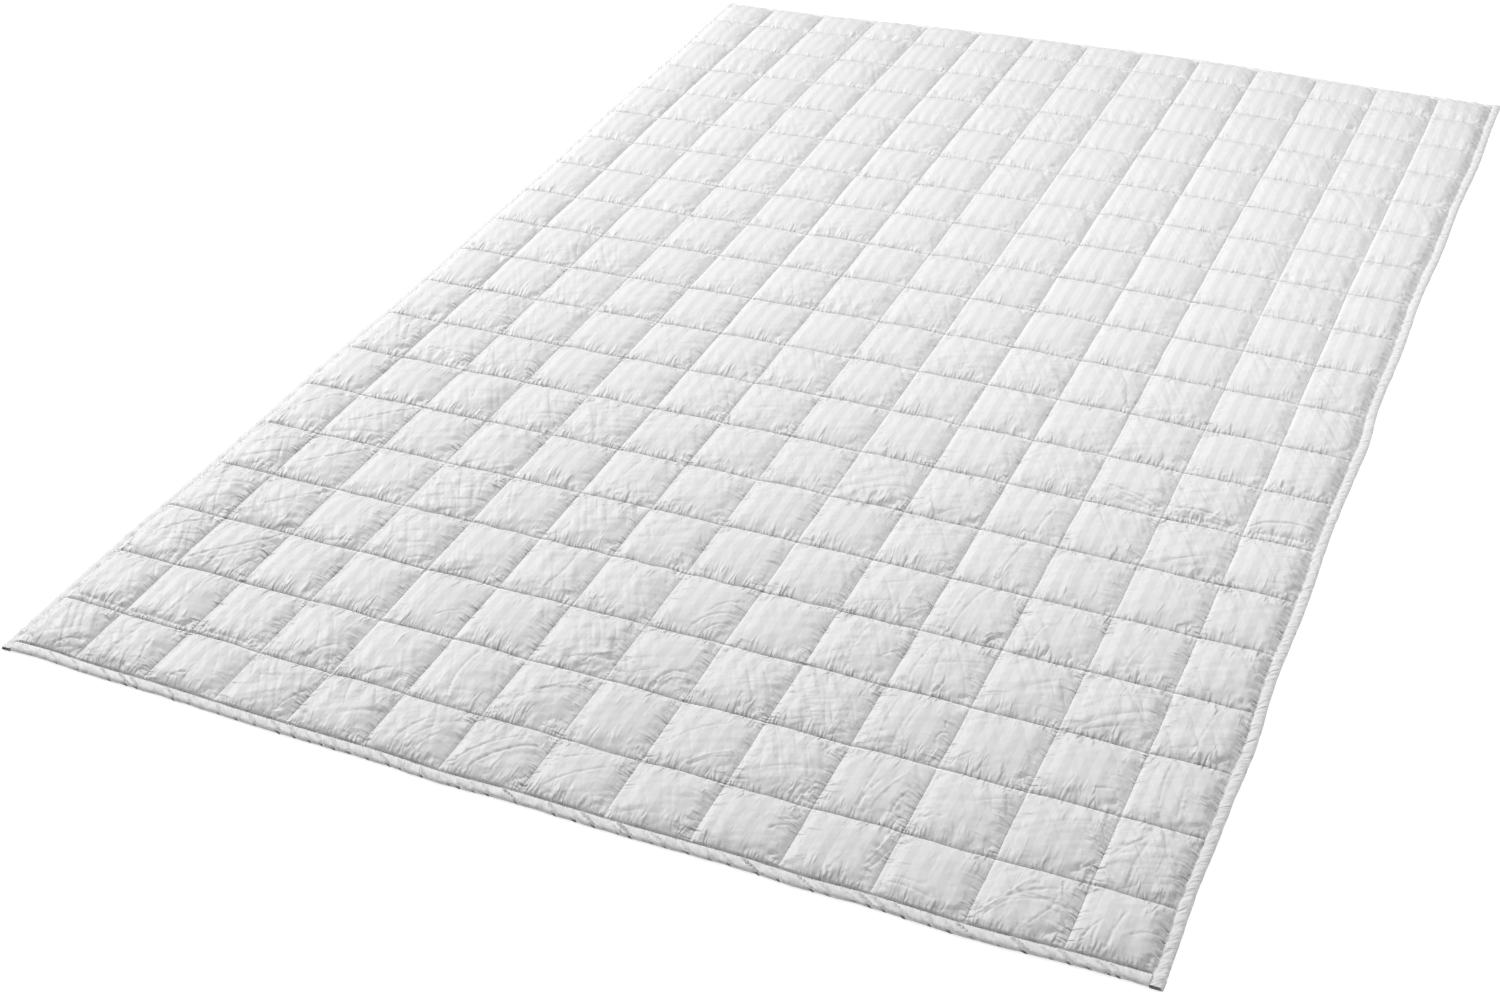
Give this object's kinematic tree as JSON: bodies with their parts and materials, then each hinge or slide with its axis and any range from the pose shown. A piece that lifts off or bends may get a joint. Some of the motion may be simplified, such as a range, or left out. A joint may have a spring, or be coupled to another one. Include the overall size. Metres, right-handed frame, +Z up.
{
  "type": "weighted blanket",
  "caption": "Quilted weighted blanket in white satin-stripe cotton, spread out flat, with square filled pockets and a narrow bound edge.",
  "frame": {"origin": "under the middle of the blanket's box, on the surface it lies on", "axes": "+X across the width, +Y along the length away from the near short edge, +Z up"},
  "size_m": [1.4128, 2.0042, 0.0129],
  "materials": {
    "satin_stripe": "white cotton woven in alternating plain and satin stripes along the length, quilted",
    "binding_tape": "plain white cotton tape, folded over the edge and stitched down",
    "sewing_thread": "fine white sewing thread"
  },
  "bodies": {
    "root": {"quilt": "satin_stripe", "binding_front": "binding_tape", "binding_back": "binding_tape", "binding_left": "binding_tape", "binding_right": "binding_tape"}
  },
  "joints": []
}
